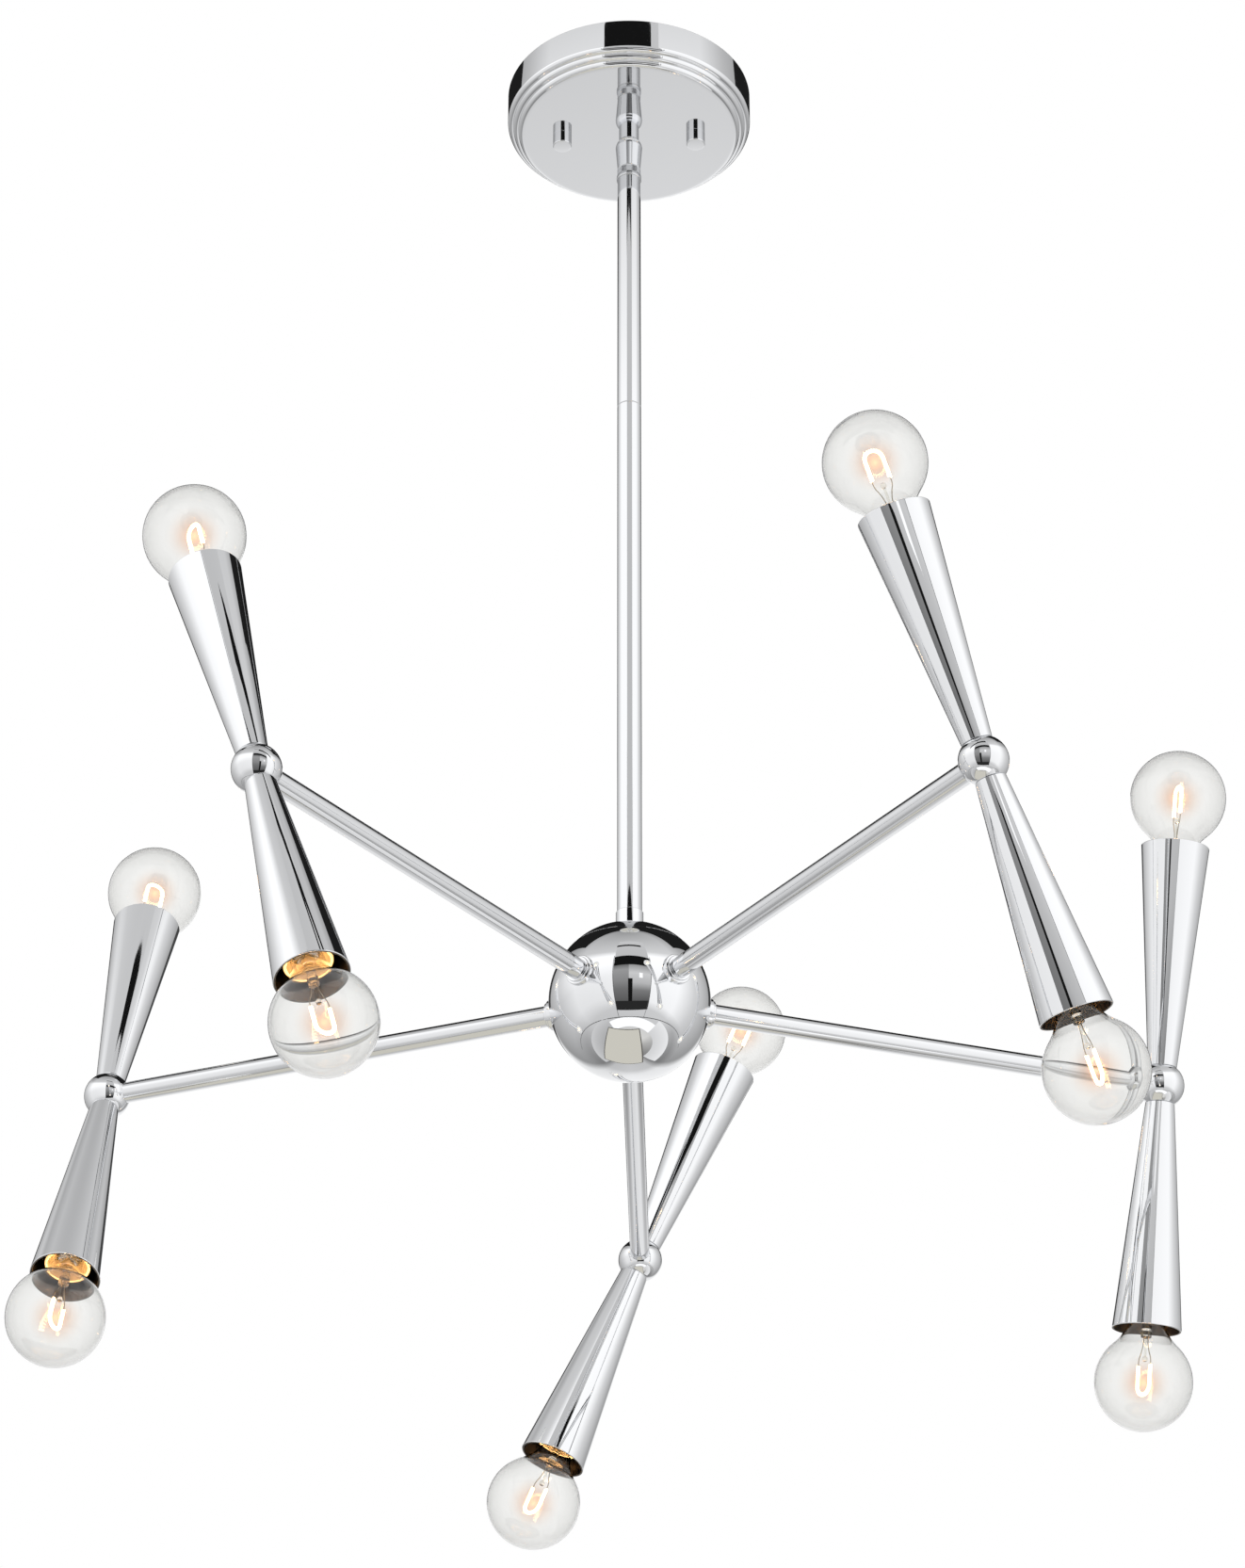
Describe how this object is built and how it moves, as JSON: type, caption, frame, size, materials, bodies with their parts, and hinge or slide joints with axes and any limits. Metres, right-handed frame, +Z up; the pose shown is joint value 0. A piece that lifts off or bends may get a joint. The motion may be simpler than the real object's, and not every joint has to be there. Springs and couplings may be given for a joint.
{
  "type": "sputnik chandelier",
  "caption": "Chrome ceiling fixture: round canopy, rod stem on a ball swivel, and a hub ball whose level arms turn and carry up and down tapered cups with clear globe lamps.",
  "frame": {"origin": "on the stem axis in the ceiling plane, midway between the two slots of the strap", "axes": "+Z up into the ceiling, +X through the two cap knobs, +Y away from the viewer of the picture"},
  "size_m": [0.583, 0.5681, 0.7106],
  "materials": {
    "chrome": "polished chrome plate",
    "satin_chrome": "chrome plate over a fine straight knurl",
    "zinc": "bright zinc plate",
    "green_screw": "green dyed plating",
    "nylon": "moulded nylon",
    "wire": "smooth PVC sleeve",
    "connector": "moulded",
    "socket": "cream moulding with a brass screw shell",
    "clear_glass": "clear blown glass on a brass screw cap"
  },
  "bodies": {
    "ceiling": {"crossbar": "zinc", "canopy_studs": "zinc", "stud_nuts": "zinc", "ground_screw": "green_screw", "canopy": "chrome", "canopy_knobs": "chrome", "swivel_stud": "chrome", "swivel_nut": "zinc"},
    "upper_seat": {"swivel_upper_seat": "nylon"},
    "lower_seat": {"swivel_lower_seat": "nylon"},
    "fixture": {"swivel_barrel": "chrome", "swivel_collar": "satin_chrome", "stem_upper": "chrome", "stem_coupling": "zinc", "stem_lower": "chrome", "stem_wires": "wire", "hub_shell": "chrome", "hub_cap": "chrome", "hub_ring": "chrome", "hub_bridge": "zinc", "hub_nipple": "zinc", "hub_nut": "zinc", "wire_connectors": "connector", "arm_collars": "chrome"},
    "arm_1": {"arm_1_tube": "chrome", "arm_1_ball": "chrome", "arm_1_cup_upper": "chrome", "arm_1_cup_lower": "chrome", "arm_1_sockets": "socket", "arm_1_lamps": "clear_glass", "arm_1_wires": "wire"},
    "arm_2": {"arm_2_tube": "chrome", "arm_2_ball": "chrome", "arm_2_cup_upper": "chrome", "arm_2_cup_lower": "chrome", "arm_2_sockets": "socket", "arm_2_lamps": "clear_glass", "arm_2_wires": "wire"},
    "arm_3": {"arm_3_tube": "chrome", "arm_3_ball": "chrome", "arm_3_cup_upper": "chrome", "arm_3_cup_lower": "chrome", "arm_3_sockets": "socket", "arm_3_lamps": "clear_glass", "arm_3_wires": "wire"},
    "arm_4": {"arm_4_tube": "chrome", "arm_4_ball": "chrome", "arm_4_cup_upper": "chrome", "arm_4_cup_lower": "chrome", "arm_4_sockets": "socket", "arm_4_lamps": "clear_glass", "arm_4_wires": "wire"},
    "arm_5": {"arm_5_tube": "chrome", "arm_5_ball": "chrome", "arm_5_cup_upper": "chrome", "arm_5_cup_lower": "chrome", "arm_5_sockets": "socket", "arm_5_lamps": "clear_glass", "arm_5_wires": "wire"}
  },
  "joints": [
    {"name": "swivel_tilt_x", "type": "hinge", "parent": "ceiling", "child": "upper_seat", "pos_m": [0, 0, -0.034], "axis": [1, 0, 0], "range_deg": [-15, 15]},
    {"name": "swivel_tilt_y", "type": "hinge", "parent": "upper_seat", "child": "lower_seat", "pos_m": [0, 0, -0.034], "axis": [0, 1, 0], "range_deg": [-15, 15]},
    {"name": "stem_turn", "type": "hinge", "parent": "lower_seat", "child": "fixture", "pos_m": [0, 0, -0.034], "axis": [0, 0, 1], "range_deg": [-170, 170]},
    {"name": "arm_1_turn", "type": "hinge", "parent": "fixture", "child": "arm_1", "pos_m": [0, 0, -0.5438], "axis": [0.5877, -0.809, -0.0122], "range_deg": [-90, 90]},
    {"name": "arm_2_turn", "type": "hinge", "parent": "fixture", "child": "arm_2", "pos_m": [0, 0, -0.5438], "axis": [0.951, 0.309, -0.0122], "range_deg": [-90, 90]},
    {"name": "arm_3_turn", "type": "hinge", "parent": "fixture", "child": "arm_3", "pos_m": [0, 0, -0.5438], "axis": [0, 0.9999, -0.0122], "range_deg": [-90, 90]},
    {"name": "arm_4_turn", "type": "hinge", "parent": "fixture", "child": "arm_4", "pos_m": [0, 0, -0.5438], "axis": [-0.951, 0.309, -0.0122], "range_deg": [-90, 90]},
    {"name": "arm_5_turn", "type": "hinge", "parent": "fixture", "child": "arm_5", "pos_m": [0, 0, -0.5438], "axis": [-0.5877, -0.809, -0.0122], "range_deg": [-90, 90]}
  ]
}
